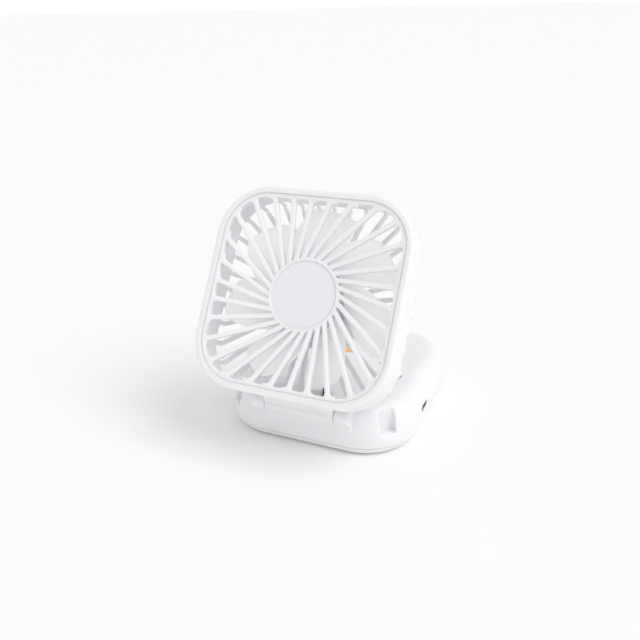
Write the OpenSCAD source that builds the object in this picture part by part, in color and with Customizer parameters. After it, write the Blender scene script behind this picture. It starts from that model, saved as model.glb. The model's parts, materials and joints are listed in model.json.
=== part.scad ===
// Foldable handheld fan: a rounded-square fan head hinged on the front edge of a battery base.
// Origin: middle of the base's flat underside. +X along the hinge, -Y the front, +Z up. Millimetres.
// The head is drawn folded flat with the hinge axis as its origin, then tilted up by rest_angle.

/* [Base] */
// Width of the base across the hinge
base_w = 91.8; // [90:0.2:94]
// Depth of the base, front to back
base_d = 95.2; // [94:0.2:97]
// Height of the base
base_h = 23.6; // [23:0.2:25]
// Radius of the base's upright corners
base_corner_r = 25.1; // [24.5:0.1:26]
// Radius of the rounded shoulder round the top
base_top_r = 7.9; // [7.5:0.1:8.5]
// Radius of the gentle curve of the walls
wall_curve_r = 29.6; // [28:0.2:40]
// Height at which the base is widest
widest_z = 8.3; // [7:0.1:9]
// Radius of the rounded edge round the underside
base_bottom_r = 5.7; // [5:0.1:6]
// Wall of the base's mouldings
base_wall = 1.8; // [1.6:0.1:2]
// Height of the line between shell and cover
split_z = 4.2; // [4:0.1:4.4]

/* [Hinge] */
// Tilt of the head in the rest pose, from folded shut
rest_angle = 57.5; // [20:0.5:100]
// How far the hinge axis lies in front of the base's front wall
hinge_ahead = 0.8; // [0.6:0.1:1.2]
// How far the hinge axis lies below the base's top
hinge_below = 2.7; // [2.4:0.1:3]
// Radius of barrel and knuckles
barrel_r = 4; // [3.8:0.1:4.2]
// Left end of the head's barrel
barrel_x0 = -16.7; // [-17:0.1:-16]
// Right end of the head's barrel
barrel_x1 = 16.7; // [16.4:0.1:17]
// Half width of the hinge block on the base
boss_half = 23.4; // [23:0.1:24]
// Outer radius of the hinge bushes
bush_r = 2.4; // [2.2:0.1:2.5]

/* [Head] */
// Side of the square head
head_size = 90; // [88:0.5:92]
// Depth of the head, rear to front
head_t = 22.5; // [22:0.1:23]
// Radius of the head's corners in front view
head_corner_r = 22.6; // [21:0.2:24]
// Radius of the rounded edge round the rear
head_rear_r = 9; // [8.5:0.1:9.5]
// Radius of the front lip
lip_r = 1.15; // [1:0.05:1.2]
// Wall of the head's shell
head_wall = 1.6; // [1.5:0.1:1.8]
// Bottom edge of the head, above the hinge axis
head_up = 2.1; // [2:0.1:2.4]
// Rear face of the head, in front of the hinge axis
head_out = 5.4; // [5.2:0.1:5.8]

/* [Grilles] */
// Spokes in the front grille
spokes = 30; // [24:1:32]
// Distance of the front spokes' lines from the middle
spoke_offset = 8.4; // [7:0.1:9]
// Turn of the front spokes
spoke_turn = -1.3; // [-6:0.1:6]
// Width of a front spoke
spoke_w = 1.9; // [1.6:0.1:2.1]
// Depth of a front spoke
spoke_t = 2.4; // [2:0.1:2.6]
// Outer radius of the bead ring round the centre cap
bead_r = 16.15; // [15:0.05:17]
// Spokes in the rear grille
rear_spokes = 36; // [30:1:40]
// Distance of the rear spokes' lines from the middle
rear_offset = -1.6; // [-4:0.1:4]
// Turn of the rear spokes
rear_turn = 2.5; // [0:0.1:10]
// Width of a rear spoke
rear_spoke_w = 2; // [1.8:0.1:2.4]
// Radius of the rear grille's solid centre
rear_plate_r = 20.5; // [19:0.5:22]

/* [Impeller] */
// Blades
blades = 7; // [5:1:7]
// Radius over the blade tips
tip_r = 39.5; // [38:0.1:39.8]
// Outer radius of the hub
hub_r = 15.2; // [14.8:0.1:15.3]
// Blade thickness
blade_t = 1; // [0.8:0.1:1.2]

/* [Button and light] */
// Middle of the power button, left to right
button_x = 29; // [28.5:0.1:29.5]
// Middle of the power button, front to back
button_y = -9.5; // [-10:0.1:-9]
// Radius of the power button
button_r = 4.5; // [4.2:0.1:4.8]
// Travel of the button
button_travel = 0.6; // [0.4:0.1:0.7]
// Middle of the indicator lens, left to right
lens_x = -1.3; // [-2:0.1:1]
// Middle of the indicator lens, front to back
lens_y = 10.4; // [9:0.1:10.6]
// Width of the indicator lens
lens_w = 9; // [8:0.1:9.4]
// Length of the indicator lens, front to back
lens_l = 10; // [9.6:0.1:10.4]

/* [Hidden] */
$fn = 96;
EPS = 0.01;

// Base
shell_gap = 0.2;
shell_h = base_h - base_wall;
hinge_y = -base_d / 2 - hinge_ahead;
hinge_z = base_h - hinge_below;
corner_x = base_w / 2 - base_corner_r;
corner_y = base_d / 2 - base_corner_r;
boss_foot_z = 9.5;
boss_foot_in = 0.25;
boss_face_in = 0.3;
boss_back_y = -36;
hollow_back_y = -34.5;
hollow_d = 8;
hollow_top_z = 15.8;
knuckle_gap = 0.2;
barrel_pocket = 0.35;
pin_hole_r = 1.5;
bush_left_x = barrel_x0 - 3.2;
bush_left_l = 10.4;
bush_right_x = barrel_x1 - 1.9;
bush_right_l = 3.8;
washer_r = 3.2;
washer_t = 0.65;
washer_seat = 0.5;
washer_seat_r = 3.3;

// Cord through the hinge
cord_r = 1.15;
cord_hole_r = 1.45;
cord_exit_x = 20.4;
cord_meet_x = 16.15;
cord_bend_in = 2.6;
cord_bend_out = 2.2;
cord_lean = 14;
cord_foot_x = 10.85;
cord_hole_l = 12.8;
boss_rim = 0.9;

// Corner niches
niche_half = 4.1;
niche_back = 20.6;
niche_floor_z = 10.6;
niche_corner_r = 1.2;
niche_reach = 8;

// Screws of the base
cover_screw_at = [[36, -24], [-36, -24], [37, 28], [-37, 28]];
cover_boss_r = 2.9;
cover_boss_z = 5;
screw_core_r = 0.85;
screw_clear_r = 1.3;
screw_head_r = 2.2;
screw_head_h = 1.3;
cover_screw_l = 9;

// Battery cell and board
cell_r = 9.2;
cell_l = 65;
cell_x = -1;
cell_y = 25.5;
cell_z = 11.6;
pad_x0 = -9;
pad_w = 12;
pad_l = 22;
pad_t = 2.6;
pad_play = 0.03;
saddle_x = [-24, 20];
saddle_t = 2;
saddle_w = 14;
saddle_h = 4;
board_x0 = -9;
board_x1 = 43;
board_y0 = -17;
board_y1 = 13;
board_z = 6.6;
board_t = 1.2;
board_top = board_z + board_t;
board_screw_at = [[-5, -13], [24, 9]];
post_r = 2.4;
post_drop = 3;
usb_y = -8.2;
usb_w = 9;
usb_h = 3.2;
usb_l = 7.4;
usb_z = 9.6;
usb_rim = 0.45;
usb_tongue_w = 6.2;
usb_tongue_t = 0.7;
usb_leg_y = 4;
usb_play = 0.3;
usb_mouth_x = 45.3;

// Button, switch and light
button_play = 0.45;
button_proud = 1;
button_dome_r = 16;
button_skirt_r = button_r + 0.9;
switch_w = 6;
switch_h = 4.2;
plunger_r = 1.7;
switch_floor = 1.2;
plunger_z0 = board_top + switch_floor + button_travel + 0.05;
plunger_top = board_top + switch_h + 1.4;
stem_r = 2.2;
lens_proud = 1.2;
lens_dome_r = 14;
lens_flange = 0.8;
lens_play = 0.05;
lamp_w = 3.2;
lamp_h = 1.6;

// Head, from its own middle with the rear face at 0
head_mid = head_up + head_size / 2;
inner_corner_r = head_corner_r - head_wall;
lip_w = 2.85;
panel_gap = 0.04;
seat_z = 18.5;
ledge_z = 17.3;
ledge_w = 3.8;
ledge_half = head_size / 2 - ledge_w;
frame_half = head_size / 2 - lip_w - panel_gap;
frame_r = head_corner_r - lip_w - panel_gap;
slot_half = 40.5;
slot_r = 18.1;
frame_top = head_t - 0.5;
spoke_top_out = frame_top - 0.05;
spoke_root = 0.7;
flare_r = 2.2;
flare_t = 2;
flare_in = 0.6;
flare_root = 1;
flare_drop = 0.02;
bead_top = 18.5;
spoke_top_in = bead_top - 0.2;
spoke_start = sqrt(pow(bead_r - 0.8, 2) - pow(spoke_offset, 2));
bead_bottom = 15.6;
bead_w = 1.5;
cap_r = bead_r - bead_w - 0.05;
cap_top = 17.9;
cap_t = 1.5;
rear_cut_top = 6.2;
scallop_depth = 0.4;
arm_v = 0.6;
arm_n = 0.8;
arm_front = 2.9;
arm_back = 3.6;
arm_l = 11.2;

// Motor, from the head's middle with the rear face at 0
plate_in = head_wall + 0.2;
motor_flange_r = 11;
motor_flange_t = 1;
tube_r = 3.4;
tube_top = 9.8;
sleeve_bore_r = 1.04;
bearing_r = 2.4;
shaft_r = 1;
shaft_z0 = 2.1;
motor_screw_at = 8.5;
pcb_in_r = 3.6;
pcb_r = 12.6;
pcb_t = 0.8;
pcb_z = plate_in + motor_flange_t + 0.2;
core_z = 5;
core_h = 4;
core_r = 11.5;
core_ring_r = 5.4;
teeth = 9;
tooth_w = 1.9;
tooth_tip = 1;
tooth_span = 29;
coil_t = 0.9;
can_r = 14.2;
can_wall = 0.8;
can_z0 = 3.8;
can_top = 12.6;
magnet_t = 1.2;
magnet_z0 = 4.2;
magnet_h = 6.6;
hub_z0 = 6;
hub_top = 15;
hub_roof = 1.2;
clip_r = 1.9;
clip_t = 0.4;

// Blades, as angles and heights of the two edges at the root and at the tip
blade_root_r = hub_r - 0.5;
blade_rear_z = 5.2;
blade_front_z = 13.6;
blade_steps = 9;
chord_steps = 7;

// Cord header on the board
header_x = 20;
header_y = -14.6;
header_w = 6;
header_d = 4;
header_h = 3.8;

// Leads and cord, by their routes
lead_r = 0.45;
lead_sides = 8;
cord_sides = 16;
head_end = [12.5, -37.05, 2.75];
lead_start = [12.36, -36.8, 2.55];
lead_side = [0.44, 0.14, -0.12];
head_red = [lead_start - lead_side, [11.7, -35, 2.35], [10.6, -32.2, 2.15], [9.2, -29.1, 2.1],
    [8.3, -25.8, 2.1], [7.4, -22.2, 2.1], [6.4, -18.5, 2.1], [5.2, -14.4, 2.2], [4.3, -11.5, 2.55]];
head_black = [lead_start + lead_side, [12.7, -35, 2.35], [11.7, -31.8, 2.15], [10.3, -28.7, 2.1],
    [9.4, -25.4, 2.1], [8.5, -21.8, 2.1], [7.5, -18.1, 2.1], [6.5, -14, 2.2], [5.8, -10.9, 2.55]];
cell_red = [[32.42, 25.5, 11.6], [33.2, 25.5, 11.6], [34.4, 24.6, 11.5], [35.8, 21.4, 11],
    [35.9, 18.6, 10.6], [35.3, 15.6, 10.2], [34.4, 12.8, 9.6], [34, 10.8, 8.25]];
cell_black = [[-33.62, 20.6, 11.6], [-34.3, 20.6, 11.6], [-35.3, 19.6, 11.1], [-35.4, 17.2, 9.8],
    [-33.4, 14.4, 8.2], [-30, 12.8, 7.4], [-25, 11.9, 7.6], [-20, 10.9, 8.4], [-15, 10.6, 9.2],
    [-10, 10.5, 9.6], [-6, 10.5, 9.2], [-4.6, 10.5, 8.25]];

// Section of a rounded rim: from the corner's centre outwards, and up
module rim_section(r, h, top_r, bottom_r) {
    translate([0, bottom_r]) square([r, h - top_r - bottom_r]);
    square([r - bottom_r, h - top_r]);
    square([r - top_r, h]);
    translate([r - top_r, h - top_r]) circle(top_r);
    translate([r - bottom_r, bottom_r]) circle(bottom_r);
}

// Rounded-square block whose rim has the section given as a child
module rimmed_block(w, d, r, h) {
    span_x = w - 2 * r;
    span_y = d - 2 * r;
    translate([-span_x / 2 - EPS, -span_y / 2 - EPS, 0]) cube([span_x + 2 * EPS, span_y + 2 * EPS, h]);
    for (side = [0, 180]) rotate([0, 0, side]) {
        translate([span_x / 2, 0, 0]) rotate([90, 0, 0])
            linear_extrude(span_y, center = true) children();
        rotate([0, 0, 90]) translate([span_y / 2, 0, 0]) rotate([90, 0, 0])
            linear_extrude(span_x, center = true) children();
        translate([span_x / 2, span_y / 2, 0])
            rotate_extrude(angle = 90) children();
        translate([-span_x / 2, span_y / 2, 0]) rotate([0, 0, 90])
            rotate_extrude(angle = 90) children();
    }
}

// Rounded-square block with rounded top and bottom edges
module pebble(w, d, r, h, top_r, bottom_r) {
    rimmed_block(w, d, r, h) rim_section(r, h, top_r, bottom_r);
}

// Flat rounded square
module rounded_square(half, r) {
    square([2 * half, 2 * (half - r)], center = true);
    square([2 * (half - r), 2 * half], center = true);
    for (x = [-1, 1], y = [-1, 1]) translate([x * (half - r), y * (half - r)]) circle(r);
}

// A tube swept along a route, as one closed solid
function unit(v) = v / norm(v);
function tangent(p, i) = unit(p[min(i + 1, len(p) - 1)] - p[max(i - 1, 0)]);
function side_of(t, s) = unit(s - (s * t) * t);
function sides_along(p, i = 0, s = [0.1, 0.2, 1]) =
    i == len(p) ? [] : let (n = side_of(tangent(p, i), s)) concat([n], sides_along(p, i + 1, n));
function quarter_bend(at, heading, away, r) =
    [for (t = [0 : 22.5 : 90]) at + r * sin(t) * heading + r * (1 - cos(t)) * away];
module swept_tube(p, r, sides = lead_sides) {
    across = sides_along(p);
    rings = [for (i = [0 : len(p) - 1]) let (t = tangent(p, i), n = across[i], b = cross(t, n))
        for (k = [0 : sides - 1]) let (a = 360 * k / sides) p[i] + r * (cos(a) * n + sin(a) * b)];
    walls = [for (i = [0 : len(p) - 2], k = [0 : sides - 1])
        let (a = i * sides + k, b = i * sides + (k + 1) % sides)
            each [[a, a + sides, b + sides], [a, b + sides, b]]];
    first = [[for (k = [0 : sides - 1]) k]];
    last = [[for (k = [sides - 1 : -1 : 0]) (len(p) - 1) * sides + k]];
    polyhedron(rings, concat(walls, first, last));
}

// Section of the base's rim: a rounded foot, a gently curved wall, and a rounded shoulder on top
module base_section(r, h, widest, wall_r, top_r, bottom_r) {
    rise = asin((h - widest - top_r) / (wall_r - top_r));
    shoulder_x = r - wall_r + (wall_r - top_r) * cos(rise);
    translate([0, bottom_r]) square([r, widest - bottom_r]);
    square([r - bottom_r, widest]);
    translate([r - bottom_r, bottom_r]) circle(bottom_r);
    intersection() {
        translate([r - wall_r, widest]) circle(wall_r);
        translate([0, widest]) square([r, h - top_r + top_r * sin(rise) - widest]);
    }
    translate([shoulder_x, h - top_r]) circle(top_r);
    square([shoulder_x, h]);
}

module on_head() {
    translate([0, hinge_y, hinge_z]) rotate([rest_angle, 0, 0]) children();
}
module in_head() {
    on_head() translate([0, head_mid, head_out]) children();
}

// Base

// Upright pocket cut into a front corner, or the thicker block round it
module niche(sx, z, grow) {
    r = niche_corner_r + grow;
    half = niche_half + grow;
    translate([sx * corner_x, -corner_y, z]) rotate([0, 0, -90 + sx * 45])
        translate([niche_back - grow, 0, 0]) linear_extrude(base_h) {
            translate([r, -half]) square([niche_reach, 2 * half]);
            translate([0, r - half]) square([niche_reach, 2 * (half - r)]);
            for (s = [-1, 1]) translate([r, s * (half - r)]) circle(r);
        }
}

module base_outside() {
    rimmed_block(base_w, base_d, base_corner_r, base_h)
        base_section(base_corner_r, base_h, widest_z, wall_curve_r, base_top_r, base_bottom_r);
}

// The space inside the base's wall, drawn from its own floor at z 0
module base_inside(floor_z, bottom_r) {
    r = base_corner_r - base_wall;
    h = shell_h - floor_z;
    translate([0, 0, floor_z]) rimmed_block(base_w - 2 * base_wall, base_d - 2 * base_wall, r, h)
        base_section(r, h, widest_z - floor_z, wall_curve_r - base_wall, base_top_r - base_wall, bottom_r);
}

module hinge_block() {
    translate([-boss_half, 0, 0]) rotate([90, 0, 90]) linear_extrude(2 * boss_half) {
        translate([hinge_y, hinge_z]) circle(barrel_r);
        polygon([[-base_d / 2 + boss_foot_in, boss_foot_z], [hinge_y + boss_face_in, hinge_z - barrel_r],
            [hinge_y, hinge_z], [hinge_y, hinge_z + barrel_r],
            [boss_back_y, base_h], [boss_back_y, boss_foot_z]]);
    }
}

module barrel_space() {
    length = barrel_x1 - barrel_x0 + 2 * knuckle_gap;
    sweep_r = 2 * barrel_r + 3;
    translate([barrel_x0 - knuckle_gap, hinge_y, hinge_z]) rotate([90, 0, 90]) linear_extrude(length) {
        circle(barrel_r + barrel_pocket);
        polygon([[-sweep_r, -barrel_r - 1.6], [-0.2, -barrel_r - 1.6], [0.9, -barrel_r - 0.2], [0, 0],
            [3.4, -2.5], [8.4, 4], [8.4, sweep_r], [-sweep_r, sweep_r]]);
    }
}

module cord_way() {
    translate([cord_exit_x, hinge_y, hinge_z]) rotate([-135, 0, 0]) translate([0, 0, -1])
        cylinder(h = 15, r = cord_hole_r + 0.15);
}

module base_shell() {
    color("whitesmoke") difference() {
        union() {
            difference() {
                base_outside();
                base_inside(-base_wall, base_bottom_r);
                translate([-base_w, -base_d, -EPS])
                    cube([2 * base_w, 2 * base_d, split_z + shell_gap + EPS]);
            }
            difference() {
                hinge_block();
                translate([-boss_half + boss_rim, hollow_back_y - hollow_d, boss_foot_z - 1])
                    cube([2 * (boss_half - boss_rim), hollow_d, hollow_top_z - boss_foot_z + 1]);
            }
            intersection() {
                base_outside();
                for (sx = [-1, 1]) niche(sx, split_z + shell_gap, base_wall);
            }
            for (p = cover_screw_at) translate([p[0], p[1], cover_boss_z])
                cylinder(h = shell_h - cover_boss_z + 0.5, r = cover_boss_r);
        }
        barrel_space();
        for (x = [-boss_half + 1, barrel_x1 - 1]) translate([x, hinge_y, hinge_z]) rotate([0, 90, 0])
            cylinder(h = x < 0 ? barrel_x0 + boss_half : cord_exit_x - barrel_x1 + 1, r = bush_r);
        cord_way();
        for (sx = [-1, 1]) niche(sx, niche_floor_z, 0);
        for (p = cover_screw_at) translate([p[0], p[1], cover_boss_z - 1])
            cylinder(h = 10, r = screw_core_r);
        translate([button_x, button_y, 0]) cylinder(h = base_h + 1, r = button_r + button_play);
        translate([lens_x, lens_y, 0]) lens_outline(base_h + 1, lens_play);
        translate([usb_mouth_x - 4, usb_y, usb_z]) usb_outline(8, usb_play);
    }
}

module base_cover() {
    color("whitesmoke") difference() {
        union() {
            difference() {
                base_outside();
                base_inside(base_wall, base_bottom_r - base_wall);
                translate([-base_w, -base_d, split_z]) cube([2 * base_w, 2 * base_d, base_h]);
            }
            for (p = cover_screw_at) translate([p[0], p[1], 0]) cylinder(h = cover_boss_z, r = cover_boss_r);
            for (p = board_screw_at) translate([p[0], p[1], base_wall - 0.5])
                cylinder(h = board_z - base_wall + 0.5, r = post_r);
            for (x = saddle_x) difference() {
                translate([x, cell_y - saddle_w / 2, base_wall - 0.5]) cube([saddle_t, saddle_w, saddle_h]);
                translate([x - 1, cell_y, cell_z]) rotate([0, 90, 0])
                    cylinder(h = saddle_t + 2, r = cell_r + 0.1);
            }
        }
        for (p = cover_screw_at) translate([p[0], p[1], -1]) {
            cylinder(h = cover_boss_z + 2, r = screw_clear_r);
            cylinder(h = screw_head_h + 1.5, r = screw_head_r + 0.3);
        }
        for (p = board_screw_at) translate([p[0], p[1], board_z - post_drop])
            cylinder(h = 5, r = screw_core_r);
    }
}

// Pan-head screw with a cross recess, head down at z 0 and shank upwards
module screw(l, head_r = screw_head_r, head_h = screw_head_h, r = screw_core_r) {
    difference() {
        union() {
            cylinder(h = head_h, r = head_r);
            cylinder(h = head_h + l, r = r);
        }
        for (a = [0, 90]) rotate([0, 0, a]) translate([-head_r * 0.6, -0.25, -EPS])
            cube([head_r * 1.2, 0.5, 0.5]);
    }
}

module cover_screws() {
    color("silver") for (p = cover_screw_at) translate([p[0], p[1], 0.5]) screw(cover_screw_l);
}

module battery_cell() {
    color("cornflowerblue") translate([cell_x - cell_l / 2, cell_y, cell_z]) rotate([0, 90, 0]) {
        cylinder(h = cell_l, r = cell_r);
        translate([0, 0, cell_l]) cylinder(h = 0.8, r = 3);
    }
}

module battery_pad() {
    color("dimgray") difference() {
        translate([pad_x0, cell_y - pad_w / 2, base_wall]) cube([pad_l, pad_w, pad_t]);
        translate([pad_x0 - 1, cell_y, cell_z]) rotate([0, 90, 0])
            cylinder(h = pad_l + 2, r = cell_r + pad_play);
    }
}

module battery_lead_red() {
    color("firebrick") swept_tube(cell_red, lead_r);
}

module battery_lead_black() {
    color("black") swept_tube(cell_black, lead_r);
}

module control_board() {
    color("darkgreen") translate([0, 0, board_z]) difference() {
        translate([board_x0, board_y0, 0]) cube([board_x1 - board_x0, board_y1 - board_y0, board_t]);
        for (p = board_screw_at) translate([p[0], p[1], -1]) cylinder(h = 3, r = screw_clear_r);
    }
}

module board_screws() {
    color("silver") for (p = board_screw_at) translate([p[0], p[1], board_top + 1.1]) mirror([0, 0, 1])
        screw(3, 1.9, 1.1);
}

// Flat oval along Y, standing on its end, for the charging socket
module usb_outline(l, grow) {
    half = usb_w / 2 - usb_h / 2;
    rotate([90, 0, 90]) linear_extrude(l) {
        square([2 * half, usb_h + 2 * grow], center = true);
        for (s = [-1, 1]) translate([s * half, 0]) circle(usb_h / 2 + grow);
    }
}

module usb_socket() {
    color("silver") translate([usb_mouth_x - usb_l, usb_y, usb_z]) {
        difference() {
            usb_outline(usb_l, 0);
            translate([1, 0, 0]) usb_outline(usb_l, -usb_rim);
        }
        translate([0, -usb_tongue_w / 2, -usb_tongue_t / 2]) cube([usb_l - 1, usb_tongue_w, usb_tongue_t]);
        for (y = [-usb_leg_y, usb_leg_y - 0.8]) translate([1.5, y, board_top - usb_z]) cube([1.2, 0.8, 1.2]);
    }
}

module power_switch() {
    color("dimgray") translate([button_x, button_y, board_top]) difference() {
        translate([-switch_w / 2, -switch_w / 2, 0]) cube([switch_w, switch_w, switch_h]);
        translate([0, 0, switch_floor]) cylinder(h = switch_h, r = plunger_r + 0.05);
    }
}

module switch_plunger() {
    color("black") translate([button_x, button_y, plunger_z0])
        cylinder(h = plunger_top - plunger_z0, r = plunger_r);
}

module power_button() {
    color("white") translate([button_x, button_y, 0]) {
        translate([0, 0, base_h - base_wall - 1]) cylinder(h = base_wall + 1, r = button_r);
        translate([0, 0, base_h]) rotate_extrude() intersection() {
            translate([0, button_proud - button_dome_r]) circle(button_dome_r);
            square([button_r, button_proud]);
        }
        translate([0, 0, base_h - base_wall - 1]) cylinder(h = 0.9, r = button_skirt_r);
        translate([0, 0, plunger_top]) cylinder(h = base_h - base_wall - plunger_top, r = stem_r);
    }
}

// Oval along Y, for the indicator lens
module lens_outline(h, grow) {
    half = (lens_l - lens_w) / 2;
    linear_extrude(h) {
        square([lens_w + 2 * grow, 2 * half], center = true);
        for (s = [-1, 1]) translate([0, s * half]) circle(lens_w / 2 + grow);
    }
}

module indicator_lens() {
    color("orange") translate([lens_x, lens_y, base_h - base_wall - lens_flange]) {
        lens_outline(base_wall + lens_flange, 0);
        lens_outline(lens_flange, lens_flange);
        translate([0, 0, base_wall + lens_flange]) intersection() {
            lens_outline(lens_proud, 0);
            translate([0, 0, lens_proud - lens_dome_r]) sphere(lens_dome_r);
        }
    }
}

module indicator_lamp() {
    color("lightyellow") translate([lens_x, lens_y, board_top]) {
        translate([-lamp_w / 2, -lamp_w / 2, 0]) cube([lamp_w, lamp_w, lamp_h]);
        translate([0, 0, lamp_h]) cylinder(h = 0.5, r = 1.1);
    }
}

module hinge_bush(x, l) {
    translate([x, hinge_y, hinge_z]) rotate([0, 90, 0]) difference() {
        cylinder(h = l, r = bush_r);
        translate([0, 0, -1]) cylinder(h = l + 2, r = pin_hole_r);
    }
}

module hinge_bushes() {
    color("silver") {
        hinge_bush(bush_left_x, bush_left_l);
        hinge_bush(bush_right_x, bush_right_l);
    }
}

module friction_washers() {
    color("gray") for (x = [barrel_x0 - knuckle_gap, barrel_x1 + knuckle_gap - washer_t])
        translate([x, hinge_y, hinge_z]) rotate([0, 90, 0]) difference() {
            cylinder(h = washer_t, r = washer_r);
            translate([0, 0, -1]) cylinder(h = washer_t + 2, r = bush_r);
        }
}

// The cord from the hinge axis down into the base, as far as the board's header
module base_cord() {
    axis = [0, hinge_y, hinge_z];
    down = [0, cos(45), -sin(45)];
    bend = quarter_bend(axis + [cord_exit_x - cord_bend_out, 0, 0], [1, 0, 0], down, cord_bend_out);
    run = [axis + [cord_exit_x, 0, 0] + 6 * down, axis + [cord_exit_x, 0, 0] + 10 * down, [20.4, -39.2, 12],
        [20.3, -36.6, 10.6], [20.2, -33.4, 9.8], [20.1, -29.5, 9.6], [20, -25, 9.7], [20, -21, 9.7],
        [header_x, header_y - header_d / 2 - 0.06, 9.7]];
    color("black") swept_tube(concat([axis + [cord_meet_x, 0, 0]], bend, run), cord_r, cord_sides);
}

module cord_header() {
    color("ivory") translate([header_x, header_y, board_top]) difference() {
        translate([-header_w / 2, -header_d / 2, 0]) cube([header_w, header_d, header_h]);
        for (x = [-1.5, 1.5]) translate([x - 0.4, 0, header_h - 1]) cube([0.8, 1.2, 2]);
    }
}

// Head

// The rear grille's openings run out and up round the rear edge, and end as scallops below the side walls
module rear_slots() {
    difference() {
        square(head_size + 4, center = true);
        circle(rear_plate_r);
        for (k = [0 : rear_spokes - 1]) rotate([0, 0, rear_turn + 360 * k / rear_spokes])
            translate([0, rear_offset - rear_spoke_w / 2]) square([80, rear_spoke_w]);
    }
}

module hinge_arm() {
    translate([barrel_x0, -head_mid, -head_out]) rotate([90, 0, 90]) linear_extrude(barrel_x1 - barrel_x0) {
        circle(barrel_r);
        polygon([[-arm_front * arm_n, arm_front * arm_v], [arm_back * arm_n, -arm_back * arm_v],
            [arm_back * arm_n + arm_l * arm_v, -arm_back * arm_v + arm_l * arm_n],
            [-arm_front * arm_n + arm_l * arm_v, arm_front * arm_v + arm_l * arm_n]]);
    }
}

module cord_hole() {
    translate([cord_foot_x, -head_mid, -head_out])
        rotate([-atan2(arm_v, arm_n), 0, 0]) rotate([0, cord_lean, 0])
            cylinder(h = cord_hole_l, r = cord_hole_r);
}

module head_shell() {
    color("whitesmoke") in_head() difference() {
        union() {
            difference() {
                pebble(head_size, head_size, head_corner_r, head_t, lip_r, head_rear_r);
                translate([0, 0, head_wall])
                    pebble(head_size - 2 * head_wall, head_size - 2 * head_wall, inner_corner_r,
                        ledge_z - head_wall, 0.4, head_rear_r - head_wall);
                translate([0, 0, seat_z]) linear_extrude(head_t)
                    rounded_square(head_size / 2 - lip_w, head_corner_r - lip_w);
                translate([0, 0, ledge_z - 1]) linear_extrude(head_t)
                    rounded_square(ledge_half, head_corner_r - ledge_w);
                translate([0, 0, -1]) linear_extrude(rear_cut_top + 1) rear_slots();
                linear_extrude(head_rear_r) difference() {
                    rear_slots();
                    rounded_square(head_size / 2 - scallop_depth, head_corner_r - scallop_depth);
                }
            }
            hinge_arm();
        }
        translate([barrel_x0 - 1, -head_mid, -head_out]) rotate([0, 90, 0]) {
            cylinder(h = 60, r = bush_r + 0.05);
            cylinder(h = 1 + washer_seat, r = washer_seat_r);
            translate([0, 0, barrel_x1 - barrel_x0 + 1 - washer_seat]) cylinder(h = 5, r = washer_seat_r);
        }
        cord_hole();
        for (k = [0 : 2]) rotate([0, 0, 120 * k + 30]) translate([motor_screw_at, 0, -1]) {
            cylinder(h = 5, r = screw_clear_r - 0.3);
            cylinder(h = 1.9, r = 2);
        }
    }
}

// A front spoke runs from the bead ring out to the frame, rising on the way
module front_spoke(direction) {
    reach = spoke_reach(direction, spoke_root);
    rotate([0, 0, direction]) translate([0, spoke_offset + spoke_w / 2, 0]) rotate([90, 0, 0])
        linear_extrude(spoke_w) polygon([[spoke_start, spoke_top_in], [reach, spoke_top_out],
            [reach, spoke_top_out - spoke_t], [spoke_start, spoke_top_in - spoke_t]]);
}

// The spoke widens with a round fillet on each side where it joins the frame, rising as the spoke does
module spoke_flare(direction) {
    edge = spoke_reach(direction, 0);
    reach = spoke_reach(direction, spoke_root);
    rise = atan((spoke_top_out - spoke_top_in) / (reach - spoke_start));
    curve = [for (t = [0 : 15 : 90])
        [edge - flare_r + flare_r * sin(t), spoke_w / 2 + flare_r * (1 - cos(t))]];
    side = concat(curve, [[edge + flare_root, spoke_w / 2 + flare_r]]);
    other = [for (i = [len(side) - 1 : -1 : 0]) [side[i][0], -side[i][1]]];
    rotate([0, 0, direction]) translate([reach, spoke_offset, spoke_top_out - flare_drop])
        rotate([0, -rise, 0]) translate([-reach, 0, -flare_t]) linear_extrude(flare_t)
            polygon(concat(side, other));
}

// How far a spoke's line runs to the slots' rounded-square outline, and a little into the frame
function spoke_reach(a, grow) = let (
    dir = [cos(a), sin(a)],
    from = spoke_offset * [-sin(a), cos(a)],
    half = slot_half + grow,
    to_x = (sign(dir[0]) * half - from[0]) / (abs(dir[0]) < 0.001 ? 0.001 : dir[0]),
    to_y = (sign(dir[1]) * half - from[1]) / (abs(dir[1]) < 0.001 ? 0.001 : dir[1]),
    flat = min(abs(to_x), abs(to_y)),
    hit = from + flat * dir,
    inset = half - slot_r,
    mid = [sign(hit[0]) * inset, sign(hit[1]) * inset],
    rel = from - mid,
    along = rel * dir,
    root = pow(along, 2) - rel * rel + pow(slot_r, 2)
) min(abs(hit[0]), abs(hit[1])) > inset ? -along + sqrt(max(root, 0)) : flat;

module front_grille() {
    color("white") in_head() {
        translate([0, 0, seat_z]) linear_extrude(frame_top - seat_z) difference() {
            rounded_square(frame_half, frame_r);
            rounded_square(slot_half, slot_r);
        }
        for (k = [0 : spokes - 1]) front_spoke(spoke_turn + 360 * k / spokes);
        intersection() {
            for (k = [0 : spokes - 1]) spoke_flare(spoke_turn + 360 * k / spokes);
            linear_extrude(head_t) rounded_square(slot_half + flare_in, slot_r + flare_in);
        }
        rotate_extrude() {
            translate([bead_r - bead_w, bead_bottom]) square([bead_w, bead_top - bead_bottom - bead_w / 2]);
            translate([bead_r - bead_w / 2, bead_top - bead_w / 2]) circle(bead_w / 2);
            translate([bead_r - bead_w - 1.4, bead_bottom]) square([1.6, cap_top - cap_t - bead_bottom]);
        }
    }
}

module grille_cap() {
    color("lavender") in_head() translate([0, 0, cap_top - cap_t]) {
        cylinder(h = cap_t, r = cap_r);
        translate([0, 0, -0.8]) cylinder(h = 0.8, r = cap_r - 1.5);
    }
}

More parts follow.
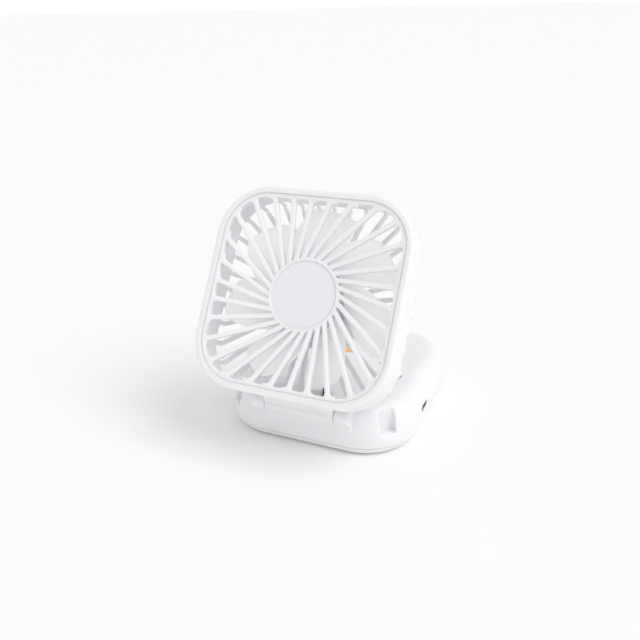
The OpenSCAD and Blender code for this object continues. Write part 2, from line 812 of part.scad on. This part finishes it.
// The cord from inside the head, through the arm, to the hinge axis
module head_cord() {
    axis = [0, -head_mid, -head_out];
    up = [tan(cord_lean), arm_v, arm_n];
    bend = quarter_bend(axis + [cord_foot_x + 3.25, 0, 0], [-1, 0, 0], [0, arm_v, arm_n], cord_bend_in);
    foot = axis + [cord_foot_x, 0, 0];
    run = [foot + 3.6 * up, foot + 6 * up, foot + 9 * up, foot + 10.8 * up, [13.35, -39.9, 4],
        [13.25, -39.1, 4.1], [13.05, -38.3, 3.75], [12.8, -37.6, 3.2], head_end];
    color("black") in_head() swept_tube(concat([axis + [cord_meet_x, 0, 0]], bend, run), cord_r, cord_sides);
}

module head_lead_red() {
    color("firebrick") in_head() swept_tube(head_red, lead_r);
}

module head_lead_black() {
    color("black") in_head() swept_tube(head_black, lead_r);
}

// Motor

module motor_base() {
    color("gray") in_head() difference() {
        union() {
            translate([0, 0, head_wall])
                cylinder(h = plate_in - head_wall + motor_flange_t, r = motor_flange_r);
            translate([0, 0, head_wall]) cylinder(h = tube_top - head_wall, r = tube_r);
            for (k = [0 : 2]) rotate([0, 0, 120 * k + 30]) translate([motor_screw_at, 0, head_wall])
                cylinder(h = 2.2, r = 1.7);
        }
        translate([0, 0, 3]) cylinder(h = tube_top, r = bearing_r);
        translate([0, 0, head_wall + 0.3]) cylinder(h = 2, r = bearing_r);
        for (k = [0 : 2]) rotate([0, 0, 120 * k + 30]) translate([motor_screw_at, 0, 0])
            cylinder(h = 6, r = screw_core_r);
    }
}

module motor_screws() {
    color("silver") in_head() for (k = [0 : 2]) rotate([0, 0, 120 * k + 30])
        translate([motor_screw_at, 0, 0.05]) screw(2.6, 1.8, 0.8);
}

module motor_board() {
    color("darkgreen") in_head() translate([0, 0, pcb_z]) difference() {
        cylinder(h = pcb_t, r = pcb_r);
        translate([0, 0, -1]) cylinder(h = 3, r = pcb_in_r);
        for (k = [0 : 2]) rotate([0, 0, 120 * k + 30]) translate([motor_screw_at, 0, -1])
            cylinder(h = 3, r = 1.8);
    }
}

// One stator tooth in plan: its leg and the arc-shaped shoe at its tip
module tooth_outline() {
    translate([core_ring_r - 1, -tooth_w / 2]) square([core_r - core_ring_r + 0.5, tooth_w]);
    intersection() {
        difference() {
            circle(core_r);
            circle(core_r - tooth_tip);
        }
        polygon([[0, 0], [20, -20 * tan(tooth_span / 2)], [20, 20 * tan(tooth_span / 2)]]);
    }
}

module stator_core() {
    color("dimgray") in_head() translate([0, 0, core_z]) linear_extrude(core_h) difference() {
        union() {
            circle(core_ring_r);
            for (k = [0 : teeth - 1]) rotate([0, 0, 360 * k / teeth]) tooth_outline();
        }
        circle(tube_r);
    }
}

module stator_coils() {
    color("peru") in_head() for (k = [0 : teeth - 1]) rotate([0, 0, 360 * k / teeth])
        translate([core_ring_r + 0.3, 0, core_z]) difference() {
            translate([0, -tooth_w / 2 - coil_t, -coil_t])
                cube([core_r - tooth_tip - core_ring_r - 0.6, tooth_w + 2 * coil_t, core_h + 2 * coil_t]);
            translate([-1, -tooth_w / 2, 0]) cube([8, tooth_w, core_h]);
        }
}

module bearing_sleeve() {
    color("goldenrod") in_head() translate([0, 0, 3.1]) difference() {
        cylinder(h = tube_top - 3.1, r = bearing_r);
        translate([0, 0, -1]) cylinder(h = tube_top, r = sleeve_bore_r);
    }
}

// Rotor

// Angles of a blade's two edges at radius r: the rear edge, then the front edge
// Both edges draw in over the last few millimetres, which rounds the tip's corners
function rounding(r, angle) = angle * pow(max(0, (r - tip_r + 2.4) / 2.4), 2);
function rear_edge(r) = 69.5 + 18 * pow(max(0, (29 - r) / 14), 1.5) + rounding(r, 3.5);
function front_edge(r) = 98.5 + 39 * pow((tip_r - r) / 24.5, 1.13) - rounding(r, 3.5);
function blade_point(r, s, lift) = let (
    a = rear_edge(r) + s * (front_edge(r) - rear_edge(r)),
    z = blade_rear_z + (blade_front_z - blade_rear_z) * (s + 0.12 * sin(180 * s))
) [r * cos(a), r * sin(a), z + lift];

module blade() {
    radii = [for (i = [0 : blade_steps])
        blade_root_r + (tip_r - blade_root_r) * sin(90 * i / blade_steps)];
    row = chord_steps + 1;
    sheet = len(radii) * row;
    function at(i, j, side) = side * sheet + i * row + j;
    points = [for (lift = [-blade_t / 2, blade_t / 2], r = radii, j = [0 : chord_steps])
        blade_point(r, j / chord_steps, lift)];
    under = [for (i = [0 : blade_steps - 1], j = [0 : chord_steps - 1]) each [
        [at(i, j, 0), at(i + 1, j, 0), at(i + 1, j + 1, 0)],
        [at(i, j, 0), at(i + 1, j + 1, 0), at(i, j + 1, 0)]]];
    over = [for (i = [0 : blade_steps - 1], j = [0 : chord_steps - 1]) each [
        [at(i, j, 1), at(i + 1, j + 1, 1), at(i + 1, j, 1)],
        [at(i, j, 1), at(i, j + 1, 1), at(i + 1, j + 1, 1)]]];
    long_edges = [for (i = [0 : blade_steps - 1]) each [
        [at(i, 0, 0), at(i, 0, 1), at(i + 1, 0, 1)], [at(i, 0, 0), at(i + 1, 0, 1), at(i + 1, 0, 0)],
        [at(i, chord_steps, 0), at(i + 1, chord_steps, 1), at(i, chord_steps, 1)],
        [at(i, chord_steps, 0), at(i + 1, chord_steps, 0), at(i + 1, chord_steps, 1)]]];
    ends = [for (j = [0 : chord_steps - 1]) each [
        [at(0, j, 0), at(0, j + 1, 1), at(0, j, 1)], [at(0, j, 0), at(0, j + 1, 0), at(0, j + 1, 1)],
        [at(blade_steps, j, 0), at(blade_steps, j, 1), at(blade_steps, j + 1, 1)],
        [at(blade_steps, j, 0), at(blade_steps, j + 1, 1), at(blade_steps, j + 1, 0)]]];
    polyhedron(points, concat(under, over, long_edges, ends));
}

module impeller() {
    color("gainsboro") in_head() {
        for (k = [0 : blades - 1]) rotate([0, 0, 360 * k / blades]) blade();
        difference() {
            translate([0, 0, hub_z0]) cylinder(h = hub_top - hub_z0, r = hub_r);
            translate([0, 0, hub_z0 - 1]) cylinder(h = hub_top - hub_roof - hub_z0 + 1, r = can_r);
        }
    }
}

module rotor_can() {
    color("darkslategray") in_head() difference() {
        union() {
            translate([0, 0, can_z0]) cylinder(h = can_top - can_z0, r = can_r);
            translate([0, 0, can_top - EPS]) cylinder(h = hub_top - hub_roof - can_top + EPS, r = 3);
        }
        translate([0, 0, can_z0 - 1]) cylinder(h = can_top - can_wall - can_z0 + 1, r = can_r - can_wall);
        translate([0, 0, can_z0]) cylinder(h = hub_top, r = shaft_r);
    }
}

module rotor_magnet() {
    color("black") in_head() translate([0, 0, magnet_z0]) difference() {
        cylinder(h = magnet_h, r = can_r - can_wall);
        translate([0, 0, -1]) cylinder(h = magnet_h + 2, r = can_r - can_wall - magnet_t);
    }
}

module motor_shaft() {
    color("silver") in_head() translate([0, 0, shaft_z0])
        cylinder(h = can_top - shaft_z0 + 0.8, r = shaft_r);
}

module shaft_clip() {
    color("gray") in_head() translate([0, 0, shaft_z0 + 0.2]) difference() {
        cylinder(h = clip_t, r = clip_r);
        translate([0, 0, -1]) cylinder(h = clip_t + 2, r = shaft_r);
        translate([0, -0.8, -1]) cube([clip_r + 1, 1.6, clip_t + 2]);
    }
}

base_shell();
base_cover();
cover_screws();
battery_cell();
battery_pad();
battery_lead_red();
battery_lead_black();
control_board();
board_screws();
usb_socket();
power_switch();
indicator_lamp();
indicator_lens();
hinge_bushes();
friction_washers();
base_cord();
cord_header();
power_button();
switch_plunger();
head_shell();
front_grille();
grille_cap();
head_cord();
head_lead_red();
head_lead_black();
motor_base();
motor_screws();
motor_board();
stator_core();
stator_coils();
bearing_sleeve();
impeller();
rotor_can();
rotor_magnet();
motor_shaft();
shaft_clip();
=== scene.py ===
"""Foldable handheld fan: looks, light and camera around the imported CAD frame.

All lengths are metres in the CAD frame: origin under the middle of the base, +X along the
hinge, -Y the front, +Z up. The head is tilted about the hinge axis by REST_ANGLE at rest.
"""

import json
import math

import bpy
from mathutils import Matrix, Vector


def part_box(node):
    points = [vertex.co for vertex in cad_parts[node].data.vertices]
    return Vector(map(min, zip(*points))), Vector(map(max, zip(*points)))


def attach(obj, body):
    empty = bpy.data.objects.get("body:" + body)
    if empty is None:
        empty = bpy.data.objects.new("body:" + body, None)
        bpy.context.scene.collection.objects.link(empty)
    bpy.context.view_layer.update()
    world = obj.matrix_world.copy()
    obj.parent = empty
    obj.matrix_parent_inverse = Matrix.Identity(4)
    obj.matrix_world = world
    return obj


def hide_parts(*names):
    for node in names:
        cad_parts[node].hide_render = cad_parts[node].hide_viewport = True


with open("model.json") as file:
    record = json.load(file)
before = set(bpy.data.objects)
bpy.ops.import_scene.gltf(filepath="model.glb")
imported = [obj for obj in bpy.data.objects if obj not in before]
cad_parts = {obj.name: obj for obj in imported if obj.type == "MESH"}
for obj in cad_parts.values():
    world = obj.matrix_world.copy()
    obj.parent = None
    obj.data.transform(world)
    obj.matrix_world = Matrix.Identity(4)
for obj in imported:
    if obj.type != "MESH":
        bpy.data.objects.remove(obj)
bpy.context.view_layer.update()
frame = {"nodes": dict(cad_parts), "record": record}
NODES = frame["nodes"]
SLOT_OF = {part["node"]: part["material_slot"] for part in frame["record"]["subparts"]}
MM = 0.001

# The head at rest: the directions up it and out of its front, and the middle of its back,
# which lies on the impeller's axis
REST_ANGLE = math.radians(57.5)
HEAD_UP = Vector((0, math.cos(REST_ANGLE), math.sin(REST_ANGLE)))
HEAD_FRONT = Vector((0, -math.sin(REST_ANGLE), math.cos(REST_ANGLE)))
HINGE = Vector((0, -48.4, 20.9)) * MM
HINGE_TO_MID_UP = 47.1 * MM
HINGE_TO_MID_FRONT = 5.4 * MM
HEAD_MID = HINGE + HINGE_TO_MID_UP * HEAD_UP + HINGE_TO_MID_FRONT * HEAD_FRONT

# Outer radius of the impeller's hub, and the radii over which its grey gives way to the blades
HUB_R = 15.2 * MM
HUB_GREY_TO = HUB_R + 0.1 * MM
BLADE_WHITE_FROM = HUB_R + 1.2 * MM

# Camera solved on the photograph's outlines
CAMERA_AT = Vector((120.139, -294.868, 185.296)) * MM
CAMERA_RIGHT = Vector((0.916662, 0.399113, -0.020974))
CAMERA_UP = Vector((-0.144474, 0.379837, 0.913702))
CAMERA_BACK = Vector((0.372637, -0.834525, 0.405844))
CAMERA_LENS = 39.893
CAMERA_SENSOR = 36
CAMERA_NEAR = 0.01
CAMERA_FAR = 50

# Studio: strength of the light from the horizon and from above, the sine of the height over
# which the one fades into the other, and a soft key light from the right
HORIZON_LIGHT = 1.04
ZENITH_LIGHT = 0.73
HORIZON_BAND = 0.2
KEY_FROM = (0.64, -0.1, 0.76)
KEY_STRENGTH = 1.12
KEY_SOFTNESS = 40
FLOOR_REACH = 60.0
FLOOR_WHITE = (0.965, 0.965, 0.965)

# A noise texture keeps mostly between these two values
NOISE_LOW = 0.3
NOISE_HIGH = 0.7


# Node helpers

class Graph:
    """A material's node tree with short calls for adding and wiring nodes."""

    def __init__(self, name):
        self.material = bpy.data.materials.new(name)
        self.material.use_nodes = True
        self.tree = self.material.node_tree
        self.tree.nodes.clear()
        self.shader = self.add("ShaderNodeBsdfPrincipled")
        output = self.add("ShaderNodeOutputMaterial")
        self.wire(self.shader, "BSDF", output, "Surface")
        self.coords = self.add("ShaderNodeTexCoord")

    def add(self, kind, **settings):
        """A new node. A setting is one of its properties, or else the value of an input."""
        node = self.tree.nodes.new(kind)
        for key, value in settings.items():
            if hasattr(node, key):
                setattr(node, key, value)
            else:
                node.inputs[key.replace("_", " ")].default_value = value
        return node

    def wire(self, source, output, target, socket):
        self.tree.links.new(source.outputs[output], target.inputs[socket])

    def texture(self, kind, **settings):
        """A texture node laid in the object's own space, so it rides with the object."""
        node = self.add(kind, **settings)
        self.wire(self.coords, "Object", node, "Vector")
        return node

    def noise(self, scale, detail, roughness):
        return self.texture("ShaderNodeTexNoise", Scale=scale, Detail=detail,
                            Roughness=roughness)

    def ramp(self, source, output, stops):
        """Colours over a value, as pairs of place and colour."""
        node = self.add("ShaderNodeValToRGB")
        for element, (place, colour) in zip(node.color_ramp.elements, stops):
            element.position = place
            element.color = (*colour, 1)
        self.wire(source, output, node, "Fac")
        return node

    def tint(self, source, output, stops):
        """The base colour, as a ramp over a value."""
        self.wire(self.ramp(source, output, stops), "Color", self.shader, "Base Color")

    def roughen(self, source, low, high):
        """The roughness, as a noise's middle range spread over low..high."""
        node = self.add("ShaderNodeMapRange", From_Min=NOISE_LOW, From_Max=NOISE_HIGH,
                        To_Min=low, To_Max=high)
        self.wire(source, "Fac", node, "Value")
        self.wire(node, "Result", self.shader, "Roughness")

    def bump(self, source, output, strength, distance):
        node = self.add("ShaderNodeBump", Strength=strength, Distance=distance)
        self.wire(source, output, node, "Height")
        self.wire(node, "Normal", self.shader, "Normal")

    def set(self, **values):
        """Uniform values, straight on the shader's own sockets."""
        for key, value in values.items():
            self.shader.inputs[key.replace("_", " ")].default_value = value


def shades(colour, amount):
    """Ramp stops from a little darker than the colour to a little lighter."""
    return [(NOISE_LOW, [max(c * (1 - amount), 0) for c in colour]),
            (NOISE_HIGH, [min(c * (1 + amount), 1) for c in colour])]


# Materials

def moulded(name, colour, rough, grain, tint, translucency=0.0):
    """Injection-moulded plastic: fine spark-eroded grain, faint flow shades, uneven sheen.

    tint is how far the shades stray from the colour, as a share of it.
    """
    g = Graph(name)
    flow = g.noise(scale=35, detail=3, roughness=0.55)
    g.tint(flow, "Fac", shades(colour, amount=tint))
    sheen = g.noise(scale=220, detail=4, roughness=0.6)
    g.roughen(sheen, low=rough - 0.05, high=rough + 0.05)
    fine = g.noise(scale=4200, detail=3, roughness=0.6)
    g.bump(fine, "Fac", strength=grain, distance=0.12 * MM)
    g.set(IOR=1.5)
    if translucency:
        g.set(Subsurface_Weight=translucency, Subsurface_Scale=2 * MM,
              Subsurface_Radius=(1.0, 0.95, 0.93))
    return g.material


def brushed(name, colour, rough, stretch=(1, 1, 14), metallic=1.0):
    """Turned or drawn metal: stretched tool marks in sheen and bump."""
    g = Graph(name)
    drawn_out = g.texture("ShaderNodeMapping", Scale=stretch)
    marks = g.add("ShaderNodeTexNoise", Scale=900, Detail=5, Roughness=0.65)
    g.wire(drawn_out, "Vector", marks, "Vector")
    g.tint(marks, "Fac", shades(colour, amount=0.1))
    g.roughen(marks, low=rough - 0.08, high=rough + 0.12)
    g.bump(marks, "Fac", strength=0.12, distance=0.05 * MM)
    g.set(Metallic=metallic)
    return g.material


def from_axis(g, point, axis):
    """Distance of a place in the material from the line through point along a unit axis."""
    offset = g.add("ShaderNodeVectorMath", operation="SUBTRACT")
    offset.inputs[1].default_value = point
    g.wire(g.coords, "Object", offset, 0)
    cross = g.add("ShaderNodeVectorMath", operation="CROSS_PRODUCT")
    cross.inputs[1].default_value = axis
    g.wire(offset, "Vector", cross, 0)
    length = g.add("ShaderNodeVectorMath", operation="LENGTH")
    g.wire(cross, "Vector", length, 0)
    return length


def milky_plastic(name, colour, inner_grey):
    """Milky plastic: light soaks into it, and a faint painted glow all over stands in for light
    coming through from behind.

    Out to the hub's edge the colour is grey, and it fades into the blades' white just past it.
    """
    g = Graph(name)
    haze = g.noise(scale=60, detail=3, roughness=0.5)
    # Grey near the axis, out to the hub's edge, then white over the blades
    reach = g.add("ShaderNodeMapRange", From_Min=HUB_GREY_TO, From_Max=BLADE_WHITE_FROM)
    g.wire(from_axis(g, HEAD_MID, HEAD_FRONT), "Value", reach, "Value")
    tint = g.add("ShaderNodeMixRGB", Color1=(*inner_grey, 1))
    g.wire(reach, "Result", tint, "Fac")
    g.wire(g.ramp(haze, "Fac", shades(colour, amount=0.02)), "Color", tint, "Color2")
    g.wire(tint, "Color", g.shader, "Base Color")
    swirl = g.noise(scale=420, detail=3, roughness=0.6)
    g.roughen(swirl, low=0.3, high=0.4)
    g.bump(swirl, "Fac", strength=0.03, distance=0.1 * MM)
    # The emission is a painted glow that lightens the whole part, standing in for light let
    # through from behind
    g.set(Subsurface_Weight=0.9, Subsurface_Scale=5 * MM, Subsurface_Radius=(1.0, 0.98, 0.97),
          Emission_Color=(0.98, 0.98, 1.0, 1), Emission_Strength=0.13, IOR=1.45)
    return g.material


def amber(name):
    """Clouded amber lens with a glossy top."""
    g = Graph(name)
    haze = g.noise(scale=260, detail=3, roughness=0.5)
    g.tint(haze, "Fac", [(NOISE_LOW, (0.9, 0.5, 0.16)), (NOISE_HIGH, (0.98, 0.68, 0.34))])
    g.bump(haze, "Fac", strength=0.05, distance=0.1 * MM)
    g.set(Roughness=0.22, Subsurface_Weight=0.35, Subsurface_Scale=2 * MM, Coat_Weight=0.4)
    return g.material


def circuit_board(name):
    """Solder resist with faint copper tracks under it."""
    g = Graph(name)
    tracks = g.texture("ShaderNodeTexBrick", Scale=420, Mortar_Size=0.03, Mortar_Smooth=0.2,
                       Color1=(0.012, 0.11, 0.045, 1), Color2=(0.016, 0.15, 0.06, 1),
                       Mortar=(0.03, 0.23, 0.09, 1))
    g.wire(tracks, "Color", g.shader, "Base Color")
    weave = g.noise(scale=2600, detail=3, roughness=0.5)
    g.roughen(weave, low=0.28, high=0.4)
    g.bump(tracks, "Fac", strength=0.15, distance=0.04 * MM)
    return g.material


def windings(name):
    """Enamelled copper wire laid side by side."""
    g = Graph(name)
    wires = g.texture("ShaderNodeTexWave", Scale=1400, Distortion=0.6, Detail=1,
                      bands_direction="Z")
    g.tint(wires, "Fac", [(0.1, (0.25, 0.07, 0.02)), (0.8, (0.72, 0.3, 0.12))])
    g.bump(wires, "Fac", strength=0.5, distance=0.1 * MM)
    g.set(Metallic=0.8, Roughness=0.3, Coat_Weight=0.3)
    return g.material


def laminated(name):
    """Stacked stator sheets: fine lines across the stack."""
    g = Graph(name)
    sheets = g.texture("ShaderNodeTexWave", Scale=1000, Distortion=0.1, bands_direction="Z")
    g.tint(sheets, "Fac", [(0.2, (0.1, 0.1, 0.11)), (0.8, (0.35, 0.35, 0.37))])
    g.bump(sheets, "Fac", strength=0.3, distance=0.05 * MM)
    g.set(Metallic=0.9, Roughness=0.45)
    return g.material


def foam(name):
    """Open-celled foam."""
    g = Graph(name)
    cells = g.texture("ShaderNodeTexVoronoi", Scale=1800)
    g.tint(cells, "Distance", [(0.1, (0.02, 0.02, 0.022)), (0.8, (0.07, 0.07, 0.075))])
    g.bump(cells, "Distance", strength=0.7, distance=0.3 * MM)
    g.set(Roughness=0.95)
    return g.material


SHELL_WHITE = (0.88, 0.865, 0.89)
CAP_WHITE = (0.86, 0.845, 0.88)

MOULDED = {
    "white_shell": dict(colour=SHELL_WHITE, rough=0.4, grain=0.06, tint=0.008, translucency=0.6),
    "cap_white": dict(colour=CAP_WHITE, rough=0.34, grain=0.03, tint=0.008, translucency=0.08),
    "cell_wrap": dict(colour=(0.12, 0.3, 0.55), rough=0.25, grain=0.03, tint=0.05),
    "red_insulation": dict(colour=(0.36, 0.035, 0.02), rough=0.35, grain=0.05, tint=0.08),
    "black_insulation": dict(colour=(0.012, 0.012, 0.013), rough=0.4, grain=0.05, tint=0.1),
    "dark_plastic": dict(colour=(0.03, 0.03, 0.032), rough=0.45, grain=0.08, tint=0.1),
    "lamp_white": dict(colour=(0.9, 0.86, 0.6), rough=0.25, grain=0.02, tint=0.03),
    "header_ivory": dict(colour=(0.78, 0.72, 0.58), rough=0.5, grain=0.05, tint=0.03),
    "magnet_dark": dict(colour=(0.02, 0.02, 0.022), rough=0.55, grain=0.15, tint=0.1),
}
BRUSHED = {
    "screw_steel": dict(colour=(0.62, 0.62, 0.64), rough=0.3),
    "socket_steel": dict(colour=(0.6, 0.6, 0.62), rough=0.25, stretch=(14, 1, 1)),
    "bush_steel": dict(colour=(0.6, 0.6, 0.61), rough=0.22, stretch=(12, 1, 1)),
    "washer_steel": dict(colour=(0.3, 0.3, 0.32), rough=0.4),
    "motor_metal": dict(colour=(0.42, 0.42, 0.44), rough=0.4),
    "bearing_brass": dict(colour=(0.6, 0.42, 0.18), rough=0.35),
    "rotor_dark": dict(colour=(0.1, 0.11, 0.12), rough=0.4, stretch=(1, 1, 10), metallic=0.7),
}
BLADE_WHITE = (0.95, 0.95, 0.955)
HUB_GREY = (0.36, 0.37, 0.39)
LOOKS = {
    **{name: moulded(name, **look) for name, look in MOULDED.items()},
    **{name: brushed(name, **look) for name, look in BRUSHED.items()},
    "foam": foam("foam"),
    "board_green": circuit_board("board_green"),
    "amber_lens": amber("amber_lens"),
    "stator_steel": laminated("stator_steel"),
    "enamelled_wire": windings("enamelled_wire"),
    "impeller_milky": milky_plastic("impeller_milky", BLADE_WHITE, HUB_GREY),
}


def dress(piece, slot_name):
    piece.data.materials.clear()
    piece.data.materials.append(LOOKS[slot_name])


for node_name, node in NODES.items():
    dress(node, SLOT_OF[node_name])


# Softened mouldings: the CAD solid's own shape with its edges rounded as a mould leaves them

# Strength and number of the smoothing passes that round the edges
SMOOTH_FACTOR = 0.5
SMOOTH_ROUNDS = 2
# What the rounding takes off every face is put back, so the seams stay as narrow as the
# solids leave them
REGROWTH = 0.05 * MM


def softened(node_name, body, voxel, keep):
    """A copy of a node's solid with its edges rounded off over a few tenths of a millimetre.

    It is remeshed in voxels of the given size, and keep is the share of its faces that stays.
    """
    source = NODES[node_name]
    piece = bpy.data.objects.new(node_name + "_moulded", source.data.copy())
    bpy.context.scene.collection.objects.link(piece)
    remesh = piece.modifiers.new("close", "REMESH")
    remesh.mode = "VOXEL"
    remesh.voxel_size = voxel
    remesh.adaptivity = 0
    smooth = piece.modifiers.new("round", "SMOOTH")
    smooth.factor = SMOOTH_FACTOR
    smooth.iterations = SMOOTH_ROUNDS
    regrow = piece.modifiers.new("regrow", "DISPLACE")
    regrow.strength = REGROWTH
    regrow.mid_level = 0
    reduce = piece.modifiers.new("reduce", "DECIMATE")
    reduce.ratio = keep
    settled = piece.evaluated_get(bpy.context.evaluated_depsgraph_get())
    mesh = bpy.data.meshes.new_from_object(settled)
    piece.modifiers.clear()
    piece.data = mesh
    # No point passes the solid's own box
    low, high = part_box(node_name)
    for vertex in mesh.vertices:
        vertex.co = [min(max(c, a), b) for c, a, b in zip(vertex.co, low, high)]
    for face in mesh.polygons:
        face.use_smooth = True
    dress(piece, SLOT_OF[node_name])
    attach(piece, body)
    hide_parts(node_name)


softened("front_grille", "head", voxel=0.28 * MM, keep=0.4)
softened("head_shell", "head", voxel=0.33 * MM, keep=0.3)
softened("base_shell", "base", voxel=0.36 * MM, keep=0.3)
softened("base_cover", "base", voxel=0.4 * MM, keep=0.3)
softened("impeller", "rotor", voxel=0.32 * MM, keep=0.5)


# Stage

def make_floor():
    """A plain pale paper floor, wide enough to reach the horizon."""
    mesh = bpy.data.meshes.new("floor")
    corners = [(x * FLOOR_REACH, y * FLOOR_REACH, 0)
               for x, y in ((-1, -1), (1, -1), (1, 1), (-1, 1))]
    mesh.from_pydata(corners, [], [(0, 1, 2, 3)])
    floor = bpy.data.objects.new("floor", mesh)
    bpy.context.scene.collection.objects.link(floor)
    g = Graph("floor_paper")
    fibre = g.noise(scale=60, detail=3, roughness=0.5)
    g.tint(fibre, "Fac", shades(FLOOR_WHITE, amount=0.004))
    g.set(Roughness=0.9)
    mesh.materials.append(g.material)


def make_sun(name, towards, strength, softness):
    """A distant soft light that stands in the direction towards, softness degrees wide."""
    data = bpy.data.lights.new(name, "SUN")
    data.energy = strength
    data.angle = math.radians(softness)
    light = bpy.data.objects.new(name, data)
    bpy.context.scene.collection.objects.link(light)
    light.rotation_mode = "QUATERNION"
    light.rotation_quaternion = Vector(towards).to_track_quat("Z", "Y")


def make_world(horizon, zenith):
    """A plain white studio, brighter towards the horizon."""
    world = bpy.data.worlds.new("studio")
    world.use_nodes = True
    tree = world.node_tree
    background = tree.nodes["Background"]
    background.inputs["Color"].default_value = (1, 1, 1, 1)
    coords = tree.nodes.new("ShaderNodeTexCoord")
    split = tree.nodes.new("ShaderNodeSeparateXYZ")
    height = tree.nodes.new("ShaderNodeMapRange")
    height.inputs["From Min"].default_value = 0.0
    height.inputs["From Max"].default_value = HORIZON_BAND
    height.inputs["To Min"].default_value = horizon
    height.inputs["To Max"].default_value = zenith
    tree.links.new(coords.outputs["Generated"], split.inputs["Vector"])
    tree.links.new(split.outputs["Z"], height.inputs["Value"])
    tree.links.new(height.outputs["Result"], background.inputs["Strength"])
    bpy.context.scene.world = world


def make_camera():
    """The camera at the photograph's viewing angle."""
    data = bpy.data.cameras.new("camera")
    data.sensor_width = CAMERA_SENSOR
    data.lens = CAMERA_LENS
    data.clip_start, data.clip_end = CAMERA_NEAR, CAMERA_FAR
    camera = bpy.data.objects.new("camera", data)
    bpy.context.scene.collection.objects.link(camera)
    turn = Matrix((CAMERA_RIGHT, CAMERA_UP, CAMERA_BACK)).transposed()
    camera.rotation_mode = "QUATERNION"
    camera.rotation_quaternion = turn.to_quaternion()
    camera.location = CAMERA_AT
    bpy.context.scene.camera = camera


make_camera()
make_floor()
make_world(HORIZON_LIGHT, ZENITH_LIGHT)
make_sun("key", KEY_FROM, KEY_STRENGTH, KEY_SOFTNESS)
bpy.context.scene.view_settings.view_transform = "Standard"
